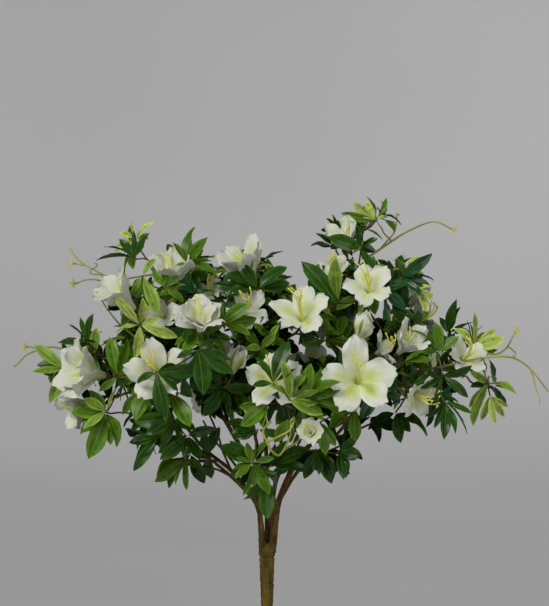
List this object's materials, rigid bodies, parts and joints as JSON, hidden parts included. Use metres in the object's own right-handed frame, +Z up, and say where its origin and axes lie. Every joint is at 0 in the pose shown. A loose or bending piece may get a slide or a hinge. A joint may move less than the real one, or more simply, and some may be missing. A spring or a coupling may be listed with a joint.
{
  "type": "artificial azalea bush in pot",
  "caption": "Artificial azalea bush: white funnel blooms, dark and light green leaves and curly tendrils on a forked moulded stem, set hard in a plain tapered clay pot.",
  "frame": {"origin": "centre of the pot's flat underside", "axes": "+Z up along the stem, +X to the right of the bush's front view, and the front of the bush faces -Y"},
  "size_m": [0.4975, 0.3098, 0.562],
  "materials": {
    "clay": "matt unglazed terracotta",
    "set_fill": "hard set plaster with small chips of bark on it, matt",
    "stem_plastic": "moulded olive brown plastic with a fine bark grain",
    "bough_plastic": "moulded brown plastic over wire, matt",
    "tendril_plastic": "moulded yellow green plastic, satin",
    "foliage": "printed polyester leaves and silk petals with a faint sheen"
  },
  "bodies": {
    "root": {"bough_base_left": "bough_plastic", "bough_base_right": "bough_plastic", "bough_centre": "bough_plastic", "bough_front": "bough_plastic", "bough_front_high": "bough_plastic", "bough_left_low": "bough_plastic", "bough_left_mid": "bough_plastic", "bough_left_rear": "bough_plastic", "bough_rear": "bough_plastic", "bough_right_inner": "bough_plastic", "bough_right_low": "bough_plastic", "bough_right_rear": "bough_plastic", "main_stem": "stem_plastic", "mass_crest_sprig": "foliage", "mass_front_base": "foliage", "mass_front_mid": "foliage", "mass_heart": "foliage", "mass_heart_left": "foliage", "mass_left_base": "foliage", "mass_left_crest": "foliage", "mass_left_low": "foliage", "mass_left_mid": "foliage", "mass_left_shoulder": "foliage", "mass_left_skirt": "foliage", "mass_left_tip": "foliage", "mass_left_upper": "foliage", "mass_mid_left": "foliage", "mass_rear_left": "foliage", "mass_rear_left_top": "foliage", "mass_rear_mid": "foliage", "mass_rear_mid_right": "foliage", "mass_rear_right": "foliage", "mass_rear_right_top": "foliage", "mass_rear_top": "foliage", "mass_right_base": "foliage", "mass_right_droop": "foliage", "mass_right_mid": "foliage", "mass_right_outer": "foliage", "mass_right_skirt": "foliage", "mass_right_tip": "foliage", "mass_right_upper": "foliage", "mass_top_centre": "foliage", "mass_top_mid": "foliage", "mass_top_right": "foliage", "mass_upper_left": "foliage", "mass_upper_right": "foliage", "pot": "clay", "pot_fill": "set_fill", "stem_collar": "stem_plastic", "tendril_left_fork": "tendril_plastic", "tendril_left_high": "tendril_plastic", "tendril_left_hook": "tendril_plastic", "tendril_left_low": "tendril_plastic", "tendril_right_far": "tendril_plastic", "tendril_right_high": "tendril_plastic", "tendril_right_star": "tendril_plastic"}
  },
  "joints": []
}
